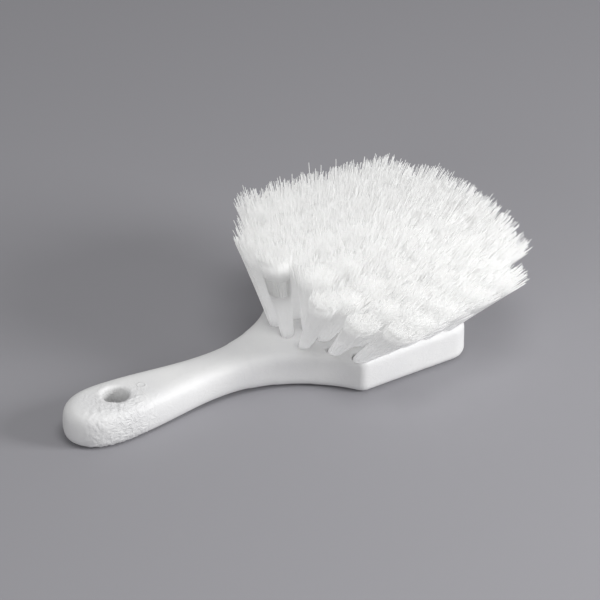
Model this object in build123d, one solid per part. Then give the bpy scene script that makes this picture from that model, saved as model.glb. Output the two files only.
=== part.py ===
"""Short-handled utility brush: one moulded handle block, flared nylon tufts and the wire anchors
that hold them. Millimetres, +Z up, the flat back lies on z = 0, the handle points to -X."""

from build123d import *
import os
from math import cos, radians, sin, sqrt, tan

# Block, seen from above
overall_length = 203.0
head_width = 83.0
head_side_length = 63.0
shoulder_angle = 52.0
shoulder_radius = 4.8
far_corner_radius = 10.5
handle_end_width = 31.4
handle_end_length = 21.0
neck_width = 20.0
neck_before_shoulder = 57.0

# Block, seen from the side
head_thickness = 18.8
handle_end_thickness = 18.0
neck_thickness = 16.6
neck_lift = 1.2
end_flat_length = 38.0
edge_radius = 4.0

# Hanging hole and the moulding mark beside it
hanging_hole_radius = 6.95
hanging_hole_from_end = 27.0
hole_edge_radius = 0.8
mark_radius = 2.2
mark_line_width = 0.5
mark_depth = 0.25
mark_from_hole = 14.5

# Tuft holes
tuft_hole_radius = 3.1
tuft_hole_depth = 12.0
tuft_pitch = 12.2
side_margin = 5.2
far_end_margin = 9.5
side_row_to_shoulder = 0.5
row_setbacks = [17.6, 16.4, 7.0, 0.0]
row_far_insets = [0.0, 0.0, 0.0, 4.5]

# Tufts
trim_height = 41.0
fan_centre_from_shoulder = 7.0
fan_reach_far = 35.5
fan_reach_side = 19.0
fan_corner_rounding = 0.58
tuft_tip_radius = 8.0
tuft_clearance = 0.05
stem_above_mouth = 4.5

# Wire anchors
anchor_grip = 0.6
anchor_height = 2.0
anchor_thickness = 0.45
anchor_above_floor = 1.2

# Tolerances for picking corners and edges
same_place = 0.1
same_direction = 0.99

shoulder_x = overall_length - head_side_length
neck_x = shoulder_x - neck_before_shoulder
half_head = head_width / 2
half_neck = neck_width / 2
half_end = handle_end_width / 2
through_everything = 2 * (head_thickness + handle_end_thickness)
trim_z = head_thickness + trim_height
outer_row = len(row_setbacks) - 1
row_pitch = (half_head - side_margin) / outer_row
last_tuft_x = overall_length - far_end_margin
anchor_length = 2 * (tuft_hole_radius + anchor_grip)
fan_centre_x = shoulder_x + fan_centre_from_shoulder


def plan_outline():
    """Outline of the block from above: half-round end, waisted neck, sloping shoulders, square head."""
    slope = radians(shoulder_angle)
    rise = half_head - half_neck - neck_before_shoulder * tan(slope)
    flare_radius = rise / (1 - cos(slope) - sin(slope) * tan(slope))
    flare_end = (neck_x + flare_radius * sin(slope), half_neck + flare_radius * (1 - cos(slope)))
    end_arc = EllipticalCenterArc(
        (handle_end_length, 0), handle_end_length, half_end, start_angle=90, arc_size=180
    )
    level = [(1, 0), (1, 0)]
    handle_side = Spline((handle_end_length, half_end), (neck_x, half_neck), tangents=level)
    flare = TangentArc((neck_x, half_neck), flare_end, tangent=(1, 0))
    shoulder = Line(flare_end, (shoulder_x, half_head))
    head_side = Line((shoulder_x, half_head), (overall_length, half_head))
    sides = [handle_side, flare, shoulder, head_side]
    far_end = Line((overall_length, half_head), (overall_length, -half_head))
    outline = make_face([end_arc, *sides, far_end, *[mirror(side, Plane.XZ) for side in sides]])
    shoulder_points = [v for v in outline.vertices() if abs(v.X - shoulder_x) < same_place]
    outline = fillet(shoulder_points, shoulder_radius)
    far_points = [v for v in outline.vertices() if abs(v.X - overall_length) < same_place]
    return fillet(far_points, far_corner_radius)


def side_outline():
    """Outline of the block from the side: level end and head, a slightly thinner lifted neck."""
    neck_low = (neck_x, neck_lift)
    neck_high = (neck_x, neck_lift + neck_thickness)
    level = [(1, 0), (1, 0)]
    low_line = Spline((end_flat_length, 0), neck_low, (shoulder_x, 0), tangents=level)
    high_line = Spline(
        (end_flat_length, handle_end_thickness), neck_high, (shoulder_x, head_thickness), tangents=level
    )
    low_end = Polyline((0, handle_end_thickness), (0, 0), (end_flat_length, 0))
    high_end = Line((0, handle_end_thickness), (end_flat_length, handle_end_thickness))
    head = Polyline(
        (shoulder_x, 0),
        (overall_length, 0),
        (overall_length, head_thickness),
        (shoulder_x, head_thickness),
    )
    return make_face([low_end, high_end, low_line, high_line, head])


def plain_block():
    """The block before its holes, with all its upper and lower edges rounded."""
    body = extrude(plan_outline(), through_everything)
    body &= extrude(Plane.XZ * side_outline(), head_width, both=True)

    def is_rim(edge):
        along = edge.tangent_at(0.5)
        joins_two_walls = abs(along.Z) > same_direction
        inside_the_ends = same_place < edge.center().X < overall_length - same_place
        crosses_the_block = abs(along.Y) > same_direction and inside_the_ends
        return not joins_two_walls and not crosses_the_block

    return fillet(body.edges().filter_by(is_rim), edge_radius)


def tuft_spots():
    """Name and mouth centre of each tuft, in rows counted from -Y and then from the handle."""
    spots = {}
    for row in range(-outer_row, outer_row + 1):
        first_x = shoulder_x + side_row_to_shoulder - row_setbacks[abs(row)]
        last_x = last_tuft_x - row_far_insets[abs(row)]
        steps = round((last_x - first_x) / tuft_pitch)
        for step in range(steps + 1):
            name = f"tuft_row{row + outer_row + 1}_{step + 1}"
            x = first_x + (last_x - first_x) * step / steps
            spots[name] = Vector(x, row * row_pitch, head_thickness)
    return spots


def tip_centre(mouth):
    """Centre of a tuft's trimmed end: tufts fan out from near the shoulders, less at the corners."""
    along = (mouth.X - fan_centre_x) / (last_tuft_x - fan_centre_x)
    across = mouth.Y / (outer_row * row_pitch)
    reach_x = fan_reach_far * along * sqrt(1 - fan_corner_rounding * across**2)
    reach_y = fan_reach_side * across * sqrt(1 - fan_corner_rounding * along**2)
    return Vector(mouth.X + reach_x, mouth.Y + reach_y, trim_z)


def tuft_plane(mouth):
    """Plane across a tuft at its mouth: its normal runs up the tuft, its x lies level."""
    lean = (tip_centre(mouth) - mouth).normalized()
    level = Vector(0, 1, 0).cross(lean).cross(lean)
    return Plane(origin=mouth, x_dir=level, z_dir=lean)


def along_tuft(mouth, distance):
    """The tuft's cross plane moved up the tuft."""
    return tuft_plane(mouth).offset(distance)


def tuft_hole(mouth):
    """Cutter for one blind hole, run out past the block's top."""
    length = tuft_hole_depth + stem_above_mouth
    tool = Cylinder(tuft_hole_radius, length, align=(Align.CENTER, Align.CENTER, Align.MIN))
    return along_tuft(mouth, -tuft_hole_depth) * tool


def anchor(mouth):
    """Flat wire across the foot of a tuft, its two ends pressed into the wall of the hole."""
    wire = Box(
        anchor_length, anchor_thickness, anchor_height, align=(Align.CENTER, Align.CENTER, Align.MIN)
    )
    return along_tuft(mouth, anchor_above_floor - tuft_hole_depth) * wire


def tuft(mouth):
    """Solid outline of one bundle of filaments: a round stem in its hole, then a flare cut level."""
    stem_radius = tuft_hole_radius - tuft_clearance
    length = tuft_hole_depth + stem_above_mouth
    stem = Cylinder(stem_radius, length, align=(Align.CENTER, Align.CENTER, Align.MIN))
    stem = along_tuft(mouth, -tuft_hole_depth) * stem
    top = along_tuft(mouth, stem_above_mouth)
    trimmed_end = Plane(origin=tip_centre(mouth), x_dir=top.x_dir, z_dir=(0, 0, 1))
    flare = loft([(top * Circle(stem_radius)).face(), (trimmed_end * Circle(tuft_tip_radius)).face()])
    return stem + flare - anchor(mouth)


def handle_block(spots):
    """The moulded block with its hanging hole, moulding mark, tuft holes and anchor pockets."""
    block = plain_block()
    hole_at = Pos(hanging_hole_from_end, 0, 0)
    block -= hole_at * Cylinder(hanging_hole_radius, through_everything)

    def is_hole_rim(edge):
        return abs(edge.arc_center.X - hanging_hole_from_end) < same_place

    hole_rims = block.edges().filter_by(GeomType.CIRCLE).filter_by(is_hole_rim)
    block = fillet(hole_rims, hole_edge_radius)
    mark = Circle(mark_radius) - Circle(mark_radius - mark_line_width)
    mark_at = Pos(hanging_hole_from_end + mark_from_hole, 0, handle_end_thickness - mark_depth)
    block -= mark_at * extrude(mark, handle_end_thickness)
    for mouth in spots.values():
        block -= tuft_hole(mouth)
        block -= anchor(mouth)
    return block


def main():
    os.makedirs("parts", exist_ok=True)
    spots = tuft_spots()
    nodes = {"handle_block": handle_block(spots)}
    nodes["tuft_anchors"] = Compound([anchor(mouth) for mouth in spots.values()])
    for name, mouth in spots.items():
        nodes[name] = tuft(mouth)
    everything = Compound(list(nodes.values())).bounding_box()
    to_origin = Pos(-everything.center().X, -everything.center().Y, -everything.min.Z)
    for name, solid in nodes.items():
        export_step(to_origin * solid, f"parts/{name}.step")
    print("nodes", len(nodes), "origin at x", everything.center().X, "size", everything.size)


main()
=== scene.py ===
from math import cos, exp, pi, radians, sin, sqrt
from random import Random
import bmesh
import bpy
from mathutils import Matrix, Quaternion, Vector, noise


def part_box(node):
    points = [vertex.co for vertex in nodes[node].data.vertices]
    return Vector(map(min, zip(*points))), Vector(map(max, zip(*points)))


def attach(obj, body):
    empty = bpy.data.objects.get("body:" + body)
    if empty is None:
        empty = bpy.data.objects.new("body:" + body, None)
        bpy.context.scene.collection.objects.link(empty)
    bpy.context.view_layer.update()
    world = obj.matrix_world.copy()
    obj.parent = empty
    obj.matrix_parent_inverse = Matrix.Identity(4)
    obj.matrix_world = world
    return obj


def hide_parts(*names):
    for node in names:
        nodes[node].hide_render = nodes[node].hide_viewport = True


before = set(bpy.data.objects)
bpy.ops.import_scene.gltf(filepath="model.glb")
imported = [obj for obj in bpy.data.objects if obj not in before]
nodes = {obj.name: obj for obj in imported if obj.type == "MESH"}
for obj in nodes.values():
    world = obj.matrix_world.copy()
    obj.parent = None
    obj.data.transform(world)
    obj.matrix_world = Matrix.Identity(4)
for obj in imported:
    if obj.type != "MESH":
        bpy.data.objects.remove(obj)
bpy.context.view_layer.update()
mm = 0.001

# camera and studio, all measured in the brush's own frame
cameraSetup = {
    "elevation": 32.0,  # degrees above the table
    "turn": 33.5,  # degrees between the handle and the picture's width
    "distance": 2.39,
    "lens": 300.0,
    "aimFromHandleEnd": 0.1327,
    "aimAcross": 0.0027,
    "aimUp": 0.0326,
}
floorSetup = {"size": 6.0, "colour": (0.31, 0.306, 0.328), "roughness": 0.7}
lightSetup = {
    "key": {"right": 0.98, "near": 0.26, "up": 0.44, "size": 0.4, "power": 9.0},
    "fill": {"right": -0.5, "near": 1.1, "up": 0.5, "size": 0.45, "power": 2.4},
    "top": {"right": 0.1, "near": 0.3, "up": 0.95, "size": 0.45, "power": 2.7},
    "sky": 0.36,
}


def pictureAxes():
    # level directions to the right of the camera's view and away from the camera
    turn = radians(cameraSetup["turn"])
    return Vector((cos(turn), -sin(turn), 0)), Vector((sin(turn), cos(turn), 0))


def addCamera():
    right, away = pictureAxes()
    tilt = radians(cameraSetup["elevation"])
    view = away * cos(tilt) - Vector((0, 0, sin(tilt)))
    camera = bpy.data.objects.new("camera", bpy.data.cameras.new("camera"))
    camera.data.lens = cameraSetup["lens"]
    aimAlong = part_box("handle_block")[0].x + cameraSetup["aimFromHandleEnd"]
    aim = Vector((aimAlong, cameraSetup["aimAcross"], cameraSetup["aimUp"]))
    camera.location = aim - view * cameraSetup["distance"]
    camera.rotation_euler = view.to_track_quat("-Z", "Y").to_euler()
    bpy.context.scene.collection.objects.link(camera)
    bpy.context.scene.camera = camera
    print("camera set")


def addLight(name, setup):
    right, away = pictureAxes()
    lamp = bpy.data.lights.new(name, "AREA")
    lamp.shape = "DISK"
    lamp.size = setup["size"]
    lamp.energy = setup["power"]
    light = bpy.data.objects.new(name, lamp)
    light.location = right * setup["right"] - away * setup["near"] + Vector((0, 0, setup["up"]))
    light.rotation_euler = (-light.location).to_track_quat("-Z", "Y").to_euler()
    bpy.context.scene.collection.objects.link(light)


def addStudio():
    world = bpy.data.worlds.new("studio")
    world.use_nodes = True
    sky = world.node_tree.nodes["Background"]
    sky.inputs["Color"].default_value = (1, 1, 1, 1)
    sky.inputs["Strength"].default_value = lightSetup["sky"]
    bpy.context.scene.world = world
    bpy.context.scene.view_settings.view_transform = "Standard"
    for name in ("key", "fill", "top"):
        addLight(name + "_light", lightSetup[name])

    floor = bmesh.new()
    bmesh.ops.create_grid(floor, x_segments=1, y_segments=1, size=floorSetup["size"] / 2)
    mesh = bpy.data.meshes.new("floor")
    floor.to_mesh(mesh)
    floor.free()
    table = bpy.data.objects.new("floor", mesh)
    bpy.context.scene.collection.objects.link(table)
    paint = bpy.data.materials.new("table_top")
    paint.use_nodes = True
    shader = paint.node_tree.nodes["Principled BSDF"]
    shader.inputs["Base Color"].default_value = (*floorSetup["colour"], 1)
    shader.inputs["Roughness"].default_value = floorSetup["roughness"]
    mesh.materials.append(paint)
    print("studio set")


addCamera()
addStudio()


# materials
def newMaterial(name):
    paint = bpy.data.materials.new(name)
    paint.use_nodes = True
    shader = paint.node_tree.nodes["Principled BSDF"]
    return paint, paint.node_tree, shader


def newGroup(name, outputs):
    # an empty group of nodes with the outputs it is going to feed
    group = bpy.data.node_groups.new(name, "ShaderNodeTree")
    for label, kind in outputs:
        group.interface.new_socket(name=label, in_out="OUTPUT", socket_type=kind)
    return group, group.nodes.new("NodeGroupOutput")


def addNoise(tree, place, scale, detail, stretch=(1, 1, 1)):
    # noise on the brush's own coordinates, scale in waves per metre
    mapping = tree.nodes.new("ShaderNodeMapping")
    mapping.inputs["Scale"].default_value = stretch
    tree.links.new(place, mapping.inputs["Vector"])
    texture = tree.nodes.new("ShaderNodeTexNoise")
    texture.inputs["Scale"].default_value = scale
    texture.inputs["Detail"].default_value = detail
    tree.links.new(mapping.outputs["Vector"], texture.inputs["Vector"])
    return texture


def addRange(tree, value, fromMin, fromMax, toMin, toMax):
    spread = tree.nodes.new("ShaderNodeMapRange")
    limits = {"From Min": fromMin, "From Max": fromMax, "To Min": toMin, "To Max": toMax}
    for label, number in limits.items():
        spread.inputs[label].default_value = number
    tree.links.new(value, spread.inputs["Value"])
    return spread.outputs["Result"]


def addMath(tree, operation, first, second=0):
    total = tree.nodes.new("ShaderNodeMath")
    total.operation = operation
    for socket, value in zip(total.inputs, (first, second)):
        if isinstance(value, (int, float)):
            socket.default_value = value
        else:
            tree.links.new(value, socket)
    return total.outputs["Value"]


def addRamp(tree, value, stops):
    ramp = tree.nodes.new("ShaderNodeValToRGB")
    for point, (position, grey) in zip(ramp.color_ramp.elements, stops):
        point.position = position
        point.color = (*grey, 1)
    tree.links.new(value, ramp.inputs["Fac"])
    return ramp.outputs["Color"]


foamSetup = {
    "colourLow": (0.76, 0.76, 0.765),
    "colourHigh": (0.80, 0.80, 0.797),
    "grain": 900.0,
    "blotch": 45.0,
    "swirl": 160.0,
    "swirlStart": 0.003,  # metres from the handle's end
    "swirlEnd": 0.046,
    "bump": 0.3 * mm,
    "swirlPastEnd": 0.12,  # how much of the swirl is left beyond its end
    "swirlFarSide": 0.35,  # and how much of it reaches the far side
    "swirlStretch": (0.8, 1.0, 1.3),
    "swirlTwist": 2.2,
    "foldWidth": 0.16,
    "swirlShade": 0.12,
    "grainShare": 0.13,
    "markFromEnd": 41.5 * mm,
    "markRadius": 2.0 * mm,
    "markLine": (0.15 * mm, 0.6 * mm),  # half its width where it is full, and where it has faded
    "markShare": 0.5,
    "roughness": (0.5, 0.66),
}


def foamSkin(setup):
    # moulded foam: fine grain all over, coarse swirls where the melt reached the handle's end
    group, out = newGroup(
        "foam_skin",
        [("Color", "NodeSocketColor"), ("Roughness", "NodeSocketFloat"), ("Height", "NodeSocketFloat")],
    )
    place = group.nodes.new("ShaderNodeTexCoord").outputs["Object"]
    axes = group.nodes.new("ShaderNodeSeparateXYZ")
    group.links.new(place, axes.inputs["Vector"])
    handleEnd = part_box("handle_block")[0].x
    start, stop = handleEnd + setup["swirlStart"], handleEnd + setup["swirlEnd"]
    middle = (start + stop) / 2
    rise = addRange(group, axes.outputs["X"], start, middle, 0, 1)
    fall = addRange(group, axes.outputs["X"], middle, stop, 1, setup["swirlPastEnd"])
    nearSide = addRange(group, axes.outputs["Y"], -0.002, 0.008, 1, setup["swirlFarSide"])
    where = addMath(group, "MULTIPLY", addMath(group, "MINIMUM", rise, fall), nearSide)

    grain = addNoise(group, place, setup["grain"], 3).outputs["Fac"]
    blotch = addNoise(group, place, setup["blotch"], 4).outputs["Fac"]
    swirl = addNoise(group, place, setup["swirl"], 5, setup["swirlStretch"])
    swirl.inputs["Distortion"].default_value = setup["swirlTwist"]
    folds = addMath(group, "ABSOLUTE", addMath(group, "SUBTRACT", swirl.outputs["Fac"], 0.5))
    rough = addMath(group, "MULTIPLY", addRange(group, folds, 0, setup["foldWidth"], 0, 1), where)
    fine = addMath(group, "MULTIPLY", grain, setup["grainShare"])
    # the small ring left by the mould
    reach = group.nodes.new("ShaderNodeVectorMath")
    reach.operation = "DISTANCE"
    markCentre = (handleEnd + setup["markFromEnd"], 0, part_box("handle_block")[1].z)
    reach.inputs[1].default_value = markCentre
    group.links.new(place, reach.inputs[0])
    pastRing = addMath(group, "SUBTRACT", reach.outputs["Value"], setup["markRadius"])
    offRing = addMath(group, "ABSOLUTE", pastRing)
    ring = addRange(group, offRing, *setup["markLine"], setup["markShare"], 0)
    relief = addMath(group, "ADD", addMath(group, "ADD", rough, fine), ring)
    group.links.new(relief, out.inputs["Height"])
    shade = addMath(group, "SUBTRACT", blotch, addMath(group, "MULTIPLY", where, setup["swirlShade"]))
    stops = [(0.35, setup["colourLow"]), (0.65, setup["colourHigh"])]
    group.links.new(addRamp(group, shade, stops), out.inputs["Color"])
    group.links.new(addRange(group, grain, 0.3, 0.7, *setup["roughness"]), out.inputs["Roughness"])
    return group


def useGroup(tree, group):
    node = tree.nodes.new("ShaderNodeGroup")
    node.node_tree = group
    return node.outputs


def addBump(tree, shader, height, distance):
    bump = tree.nodes.new("ShaderNodeBump")
    bump.inputs["Distance"].default_value = distance
    tree.links.new(height, bump.inputs["Height"])
    tree.links.new(bump.outputs["Normal"], shader.inputs["Normal"])


def foamPlastic():
    paint, tree, shader = newMaterial("foam_plastic")
    skin = useGroup(tree, foamSkin(foamSetup))
    tree.links.new(skin["Color"], shader.inputs["Base Color"])
    tree.links.new(skin["Roughness"], shader.inputs["Roughness"])
    addBump(tree, shader, skin["Height"], foamSetup["bump"])
    return paint


nylonSetup = {
    # root and tip colours: the roots are painted lighter than the tips, painted light that lifts the
    # shade low in each tuft
    "rootColour": (0.985, 0.985, 0.988),
    "tipColour": (0.945, 0.945, 0.942),
    "streaks": 34.0,
    "streakLength": 0.05,  # smaller is longer
    "bump": 0.2 * mm,
    "roughness": (0.3, 0.5),
    "through": 0.5,  # the share of light that goes through a filament
    "glow": 0.2,  # stands for light that wanders through many filaments
}


def nylonLook(setup):
    # the two attributes run along each filament and number it
    group, out = newGroup(
        "nylon_look",
        [("Color", "NodeSocketColor"), ("Roughness", "NodeSocketFloat"), ("Height", "NodeSocketFloat")],
    )
    along = group.nodes.new("ShaderNodeAttribute")
    along.attribute_name = "along"
    strand = group.nodes.new("ShaderNodeAttribute")
    strand.attribute_name = "strand"
    place = group.nodes.new("ShaderNodeCombineXYZ")
    group.links.new(strand.outputs["Fac"], place.inputs["X"])
    slow = addMath(group, "MULTIPLY", along.outputs["Fac"], setup["streakLength"])
    group.links.new(slow, place.inputs["Y"])
    streak = addNoise(group, place.outputs["Vector"], setup["streaks"], 3).outputs["Fac"]
    # painted light along each filament, lighter at the root and darker at the tip, plus streaks of tone
    # that differ at random
    shade = addMath(group, "ADD", along.outputs["Fac"], addMath(group, "SUBTRACT", streak, 0.5))
    stops = [(0.0, setup["rootColour"]), (1.0, setup["tipColour"])]
    group.links.new(addRamp(group, shade, stops), out.inputs["Color"])
    group.links.new(addRange(group, streak, 0.3, 0.7, *setup["roughness"]), out.inputs["Roughness"])
    group.links.new(streak, out.inputs["Height"])
    return group


def nylon():
    paint, tree, shader = newMaterial("nylon_filament")
    look = useGroup(tree, nylonLook(nylonSetup))
    tree.links.new(look["Color"], shader.inputs["Base Color"])
    tree.links.new(look["Roughness"], shader.inputs["Roughness"])
    tree.links.new(look["Color"], shader.inputs["Emission Color"])
    shader.inputs["Emission Strength"].default_value = nylonSetup["glow"]
    addBump(tree, shader, look["Height"], nylonSetup["bump"])
    through = tree.nodes.new("ShaderNodeBsdfTranslucent")
    tree.links.new(look["Color"], through.inputs["Color"])
    both = tree.nodes.new("ShaderNodeMixShader")
    both.inputs["Fac"].default_value = nylonSetup["through"]
    tree.links.new(shader.outputs["BSDF"], both.inputs[1])
    tree.links.new(through.outputs["BSDF"], both.inputs[2])
    tree.links.new(both.outputs["Shader"], tree.nodes["Material Output"].inputs["Surface"])
    return paint


wireSetup = {
    "bright": (0.62, 0.62, 0.60),
    "dull": (0.42, 0.42, 0.41),
    "drawing": 2500.0,
    "patches": 312.5,
    "roughness": (0.25, 0.5),
    "bump": 0.05 * mm,
}


def wireLook(setup):
    # drawn flat wire: fine lines along its length and dull patches
    group, out = newGroup(
        "wire_look",
        [("Color", "NodeSocketColor"), ("Roughness", "NodeSocketFloat"), ("Height", "NodeSocketFloat")],
    )
    place = group.nodes.new("ShaderNodeTexCoord").outputs["Object"]
    lines = addNoise(group, place, setup["drawing"], 2, (1, 0.05, 1)).outputs["Fac"]
    patches = addNoise(group, place, setup["patches"], 3).outputs["Fac"]
    stops = [(0.35, setup["dull"]), (0.65, setup["bright"])]
    group.links.new(addRamp(group, patches, stops), out.inputs["Color"])
    group.links.new(addRange(group, lines, 0.3, 0.7, *setup["roughness"]), out.inputs["Roughness"])
    group.links.new(lines, out.inputs["Height"])
    return group


def anchorWire():
    paint, tree, shader = newMaterial("anchor_wire")
    look = useGroup(tree, wireLook(wireSetup))
    tree.links.new(look["Color"], shader.inputs["Base Color"])
    tree.links.new(look["Roughness"], shader.inputs["Roughness"])
    shader.inputs["Metallic"].default_value = 1.0
    addBump(tree, shader, look["Height"], wireSetup["bump"])
    return paint


def dress(node, paint):
    node.data.materials.clear()
    node.data.materials.append(paint)


nylonPaint = nylon()
blockPaint = foamPlastic()
dress(nodes["handle_block"], blockPaint)
dress(nodes["tuft_anchors"], anchorWire())
print("materials made")

# the block's skin: its edges are soft, most of all along the handle, and the foam puckers near the end
skinSetup = {
    "grain": 0.7 * mm,
    # how far along the brush each round of smoothing reaches, and its number of passes
    "stages": [(0.060, 8), (0.020, 14), (0.006, 22), (-0.010, 22), (-0.022, 34)],
    "holeRim": 8.8 * mm,  # the hanging hole keeps its edge this far out
    "holeFromEnd": 27.0 * mm,
    "swell": 0.45 * mm,  # gives the smoothed handle its full width back
    "headStart": 0.012,
    "swellFade": 0.03,
    "pucker": 0.7 * mm,
    "puckerSize": 2.1 * mm,
    "puckerStart": 0.003,  # metres from the handle's end, as are the next three
    "puckerRise": 0.006,
    "puckerStop": 0.047,
    "puckerFade": 0.018,
    "puckerFarSide": 0.12,
    "seed": 11,
}


def clamp(value, low=0):
    return min(1, max(low, value))


def puckerAt(point, handleEnd, setup):
    # strongest on the near side, a little way in from the handle's end
    fromEnd = point.x - handleEnd
    rise = clamp((fromEnd - setup["puckerStart"]) / setup["puckerRise"])
    fall = clamp((setup["puckerStop"] - fromEnd) / setup["puckerFade"])
    toNearSide = clamp((0.004 - point.y) / 0.012, setup["puckerFarSide"])
    place = point / setup["puckerSize"]
    warped = place + noise.noise_vector(place * 0.6) * 1.6
    return (abs(noise.noise(warped)) - 0.2) * rise * fall * toNearSide * setup["pucker"]


def makeSkin(setup):
    node = nodes["handle_block"]
    solid = bpy.data.objects.new("block_solid", node.data.copy())
    bpy.context.scene.collection.objects.link(solid)
    even = solid.modifiers.new("even_grid", "REMESH")
    even.mode = "VOXEL"
    even.voxel_size = setup["grain"]
    ready = solid.evaluated_get(bpy.context.evaluated_depsgraph_get())
    skin = bmesh.new()
    skin.from_mesh(ready.to_mesh())
    bpy.data.objects.remove(solid)
    noise.seed_set(setup["seed"])  # without it the pucker would change from run to run
    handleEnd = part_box("handle_block")[0].x
    hole = Vector((handleEnd + setup["holeFromEnd"], 0))
    loose = [corner for corner in skin.verts if (corner.co.xy - hole).length > setup["holeRim"]]
    for limit, passes in setup["stages"]:
        soft = [corner for corner in loose if corner.co.x < limit]
        for turn in range(passes):
            bmesh.ops.smooth_vert(
                skin, verts=soft, factor=0.5, use_axis_x=True, use_axis_y=True, use_axis_z=True
            )
    skin.normal_update()
    for corner in skin.verts:
        slim = clamp((setup["headStart"] - corner.co.x) / setup["swellFade"])
        lift = puckerAt(corner.co, handleEnd, setup) + slim * setup["swell"]
        corner.co += corner.normal * lift
        corner.co.z = max(corner.co.z, 0)  # nothing goes through the table
    mesh = bpy.data.meshes.new("block_skin")
    skin.to_mesh(mesh)
    skin.free()
    mesh.shade_smooth()
    mesh.materials.append(blockPaint)
    piece = bpy.data.objects.new("block_skin", mesh)
    bpy.context.scene.collection.objects.link(piece)
    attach(piece, "root")
    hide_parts("handle_block")
    print("skin made", len(mesh.polygons))


makeSkin(skinSetup)

# bristles: every tuft is a bundle of separate filaments round a packed middle
goldenShare = 0.618  # numbers stepped by this never fall near each other
bristleSetup = {
    "count": 320,
    "radius": 0.15 * mm,
    "sides": 4,
    "steps": 6,
    "mouthRadius": 2.85 * mm,
    "tipRadius": 12.4 * mm,
    "rootDepth": 3.0 * mm,
    "lengthSpread": 0.7 * mm,
    "strays": 0.035,  # the share of filaments that stand out past the rest
    "strayLength": 4.5 * mm,
    "stiffStart": 0.3,  # the share of its length that a filament keeps its hole's direction
    "spreadStart": 0.03,
    "bendShare": 0.6,
    "flatEnds": 0.55,  # 1 keeps every trimmed end level, 0 tilts it square to its bent tuft
    "wander": 0.55 * mm,
    "drift": (2.5 * mm, -5.0 * mm),  # the whole field of bristle is pressed to one side by use
    "sink": 4.0 * mm,  # how far the outer near row is bent down
    "pressedAt": (0.0095, -0.018),  # the front near corner is pressed towards the viewer's side
    "pressedBy": (8.0 * mm, -13.0 * mm),
    "pressedReach": 18.0 * mm,
    "coreSides": 40,
    "coreShare": 0.96,
    "coreLength": 0.955,
    "coreDome": 0.28,  # how much narrower its last ring is
    "seed": 11,
}
# some front tufts stand on their own: how far their trimmed ends are from their mouths, and how wide
combed = {
    "tuft_row1_1": (9 * mm, -28 * mm, 9.5 * mm),
    "tuft_row2_1": (-1 * mm, -28 * mm, 8.5 * mm),
    "tuft_row3_1": (-2 * mm, -23 * mm, 8.0 * mm),
    "tuft_row4_1": (-5 * mm, 4 * mm, 9.5 * mm),
    "tuft_row5_1": (-6 * mm, 9 * mm, 10.0 * mm),
}
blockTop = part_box("handle_block")[1].z
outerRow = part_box("tuft_row7_1")[0].y


def meshCentre(node, level, tolerance):
    # centre of a node's corners near one height
    found = [v.co for v in nodes[node].data.vertices if abs(v.co.z - level) < tolerance]
    low = Vector([min(c[i] for c in found) for i in range(3)])
    high = Vector([max(c[i] for c in found) for i in range(3)])
    return (low + high) / 2


def tuftAxis(node):
    # the stem's foot and the trimmed end give the line a tuft leans along
    low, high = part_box(node)
    tip = meshCentre(node, high.z, 0.01 * mm)
    foot = meshCentre(node, low.z, 3.2 * mm)
    lean = (tip - foot).normalized()
    mouth = foot + lean * ((blockTop - foot.z) / lean.z)
    return mouth, tip


def bendOver(name, mouth, tip, setup):
    # the trimmed end moves sideways and sinks, because the filaments keep their length
    away = Vector((mouth.x, mouth.y)) - Vector(setup["pressedAt"])
    pressed = Vector(setup["pressedBy"]) * exp(-away.length_squared / (2 * setup["pressedReach"] ** 2))
    shift = (tip - mouth).xy + Vector(setup["drift"]) + pressed
    if name in combed:
        shift = Vector(combed[name][:2])
    rise = sqrt((tip - mouth).length_squared - shift.length_squared)
    rise -= setup["sink"] * max(0, -mouth.y / outerRow) ** 2
    return mouth + Vector((*shift, rise))


def strandPath(axis, outward, share, endShift, bend, length, setup):
    # points up one filament, from its hole to the given share of its length; it spreads as it goes
    mouth, lean, spin, bentTip, tipRadius = axis
    root = mouth + outward * setup["mouthRadius"] * share - lean * setup["rootDepth"]
    flat = Vector((outward.x, outward.y, 0))
    end = bentTip + spin @ (flat * tipRadius * share + endShift)
    reach = (end - root).length
    start = root + (bentTip - mouth).normalized() * reach * setup["stiffStart"]
    start += outward * reach * setup["spreadStart"] * share
    points = []
    for step in range(setup["steps"] + 1):
        t = length * step / setup["steps"]
        point = root * (1 - t) ** 2 + start * 2 * t * (1 - t) + end * t**2
        points.append(point + bend * sin(pi * t))
    return points


def setLayers(corners, layers, along, strand):
    for corner in corners:
        corner[layers[0]] = along
        corner[layers[1]] = strand


def growFilaments(bundle, layers, paths, setup):
    # one capped ring per filament, drawn up along its own path
    number = bundle.faces.layers.int.new("number")
    ends = []
    for place, path in enumerate(paths):
        turn = (path[1] - path[0]).to_track_quat("Z", "X").to_matrix().to_4x4()
        ring = bmesh.ops.create_circle(
            bundle,
            cap_ends=True,
            segments=setup["sides"],
            radius=setup["radius"],
            matrix=Matrix.Translation(path[0]) @ turn,
        )
        face = ring["verts"][0].link_faces[0]
        face[number] = place
        ends.append(face)
    for step in range(1, setup["steps"] + 1):
        grown = bmesh.ops.extrude_face_region(bundle, geom=ends)["geom"]
        ends = [part for part in grown if isinstance(part, bmesh.types.BMFace)]
        for face in ends:
            path = paths[face[number]]
            before = (path[step] - path[step - 1]).normalized()
            after = (path[step + 1] - path[step]).normalized() if step < setup["steps"] else before
            older = (path[step - 1] - path[step - 2]).normalized() if step > 1 else before
            spin = (older + before).normalized().rotation_difference((before + after).normalized())
            for corner in face.verts:
                corner.co = path[step] + spin @ (corner.co - path[step - 1])
            setLayers(face.verts, layers, step / setup["steps"], face[number] * goldenShare % 1)


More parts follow.
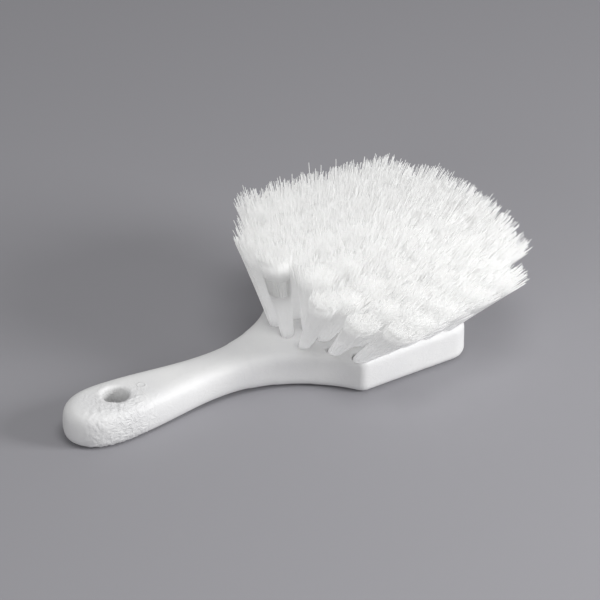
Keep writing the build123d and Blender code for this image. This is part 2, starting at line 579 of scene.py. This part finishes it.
def growMiddle(bundle, layers, sheath, dome):
    # the middle of the bundle: every corner of it follows a filament's path
    ring = bmesh.ops.create_circle(bundle, cap_ends=True, segments=len(sheath), radius=mm)
    corners = ring["verts"]
    face = corners[0].link_faces[0]
    for step in range(len(sheath[0])):
        if step:
            grown = bmesh.ops.extrude_face_region(bundle, geom=[face])["geom"]
            face = next(part for part in grown if isinstance(part, bmesh.types.BMFace))
            corners = face.verts
        along = step / (len(sheath[0]) - 1)
        for side, (corner, path) in enumerate(zip(corners, sheath)):
            corner.co = path[step]
            setLayers([corner], layers, along, side * goldenShare % 1)
        if step == len(sheath[0]) - 1:
            middle = sum((corner.co for corner in corners), Vector()) / len(corners)
            for corner in corners:
                corner.co = corner.co.lerp(middle, dome)


def growTuft(name, setup, seed):
    dice = Random(seed)
    mouth, tip = tuftAxis(name)
    lean = (tip - mouth).normalized()
    bentTip = bendOver(name, mouth, tip, setup)
    spin = lean.rotation_difference((bentTip - mouth).normalized())
    spin = spin.slerp(Quaternion(), setup["flatEnds"])
    tipRadius = combed[name][2] if name in combed else setup["tipRadius"]
    axis = (mouth, lean, spin, bentTip, tipRadius)
    level = Vector((0, 1, 0)).cross(lean).normalized()
    cross = lean.cross(level)
    still = Vector((0, 0, 0))
    paths = []
    for place in range(setup["count"]):
        share = sqrt((place + 0.5) / setup["count"])
        around = place * pi * (3 - sqrt(5)) + dice.uniform(-0.3, 0.3)
        outward = level * cos(around) + cross * sin(around)
        endShift = Vector((dice.gauss(0, setup["wander"]), dice.gauss(0, setup["wander"]), 0))
        endShift.z = dice.gauss(0, setup["lengthSpread"])
        if dice.random() < setup["strays"]:
            endShift.z += dice.uniform(0.3, 1) * setup["strayLength"]
        bend = outward.cross(lean) * dice.gauss(0, setup["wander"]) * setup["bendShare"]
        paths.append(strandPath(axis, outward, share, endShift, bend, 1, setup))
    sheath = []
    for side in range(setup["coreSides"]):
        around = 2 * pi * side / setup["coreSides"]
        outward = level * cos(around) + cross * sin(around)
        share, length = setup["coreShare"], setup["coreLength"]
        sheath.append(strandPath(axis, outward, share, still, still, length, setup))
    bundle = bmesh.new()
    layers = [bundle.verts.layers.float.new(label) for label in ("along", "strand")]
    growFilaments(bundle, layers, paths, setup)
    # a combed tuft is seen from its side, so its middle keeps its full width to the end
    growMiddle(bundle, layers, sheath, 0 if name in combed else setup["coreDome"])
    bmesh.ops.recalc_face_normals(bundle, faces=bundle.faces)
    mesh = bpy.data.meshes.new(name + "_filaments")
    bundle.to_mesh(mesh)
    bundle.free()
    mesh.shade_smooth()
    mesh.materials.append(nylonPaint)
    piece = bpy.data.objects.new(name + "_filaments", mesh)
    bpy.context.scene.collection.objects.link(piece)
    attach(piece, "root")
    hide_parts(name)


tuftNames = sorted(name for name in nodes if name.startswith("tuft_row"))
for place, name in enumerate(tuftNames):
    growTuft(name, bristleSetup, bristleSetup["seed"] + place)
print("tufts grown", len(tuftNames))
